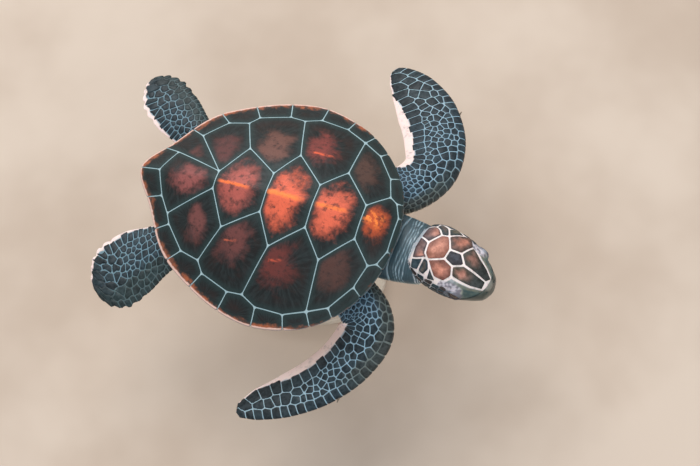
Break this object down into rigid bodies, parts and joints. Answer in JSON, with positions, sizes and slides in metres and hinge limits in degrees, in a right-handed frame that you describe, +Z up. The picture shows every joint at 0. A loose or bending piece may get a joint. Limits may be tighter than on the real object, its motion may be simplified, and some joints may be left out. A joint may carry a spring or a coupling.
{
  "type": "sea turtle display model",
  "caption": "Young green sea turtle as a still, life-size display model, swimming with lowered front flippers, on a flat oval base with two short rods.",
  "frame": {"origin": "centre of the underside of the display stand's base", "axes": "+X towards the turtle's head, +Y to the turtle's left, +Z up"},
  "size_m": [0.2414, 0.2415, 0.1312],
  "materials": {
    "shell_plate": "horn: near-black blue-green with a red-brown glow in the middle of each plate, satin",
    "shell_rim": "horn: near-black with a pale orange-pink edge, satin",
    "belly_plate": "pale cream horn, satin",
    "skin": "dark slate-blue scales with pale blue seams, pale trailing edges",
    "head_skin": "rose-brown head shields with dark margins and wide pale seams",
    "beak": "dark green-brown horn, satin",
    "eye": "black, wet gloss",
    "claw": "dark horn",
    "stand_base": "matt warm grey paint",
    "stand_rod": "brushed"
  },
  "bodies": {
    "root": {"beak_lower": "beak", "beak_upper": "beak", "claw_left": "claw", "claw_right": "claw", "costal_left_1": "shell_plate", "costal_left_2": "shell_plate", "costal_left_3": "shell_plate", "costal_left_4": "shell_plate", "costal_left_5": "shell_plate", "costal_right_1": "shell_plate", "costal_right_2": "shell_plate", "costal_right_3": "shell_plate", "costal_right_4": "shell_plate", "eye_left": "eye", "eye_right": "eye", "front_arm_left": "skin", "front_arm_right": "skin", "front_flipper_left": "skin", "front_flipper_right": "skin", "head": "head_skin", "marginal_left_1": "shell_rim", "marginal_left_10": "shell_rim", "marginal_left_12": "shell_rim", "marginal_left_2": "shell_rim", "marginal_left_3": "shell_rim", "marginal_left_4": "shell_rim", "marginal_left_5": "shell_rim", "marginal_left_6": "shell_rim", "marginal_left_7": "shell_rim", "marginal_left_8": "shell_rim", "marginal_left_9": "shell_rim", "marginal_right_1": "shell_rim", "marginal_right_10": "shell_rim", "marginal_right_11": "shell_rim", "marginal_right_12": "shell_rim", "marginal_right_2": "shell_rim", "marginal_right_3": "shell_rim", "marginal_right_4": "shell_rim", "marginal_right_5": "shell_rim", "marginal_right_6": "shell_rim", "marginal_right_7": "shell_rim", "marginal_right_8": "shell_rim", "marginal_right_9": "shell_rim", "neck": "skin", "nuchal": "shell_rim", "plastron": "belly_plate", "rear_flipper_left": "skin", "rear_flipper_right": "skin", "rear_thigh_left": "skin", "rear_thigh_right": "skin", "stand_base": "stand_base", "stand_rod_front": "stand_rod", "stand_rod_rear": "stand_rod", "tail": "skin", "trunk": "skin", "vertebral_1": "shell_plate", "vertebral_2": "shell_plate", "vertebral_3": "shell_plate", "vertebral_4": "shell_plate", "vertebral_5": "shell_plate"}
  },
  "joints": []
}
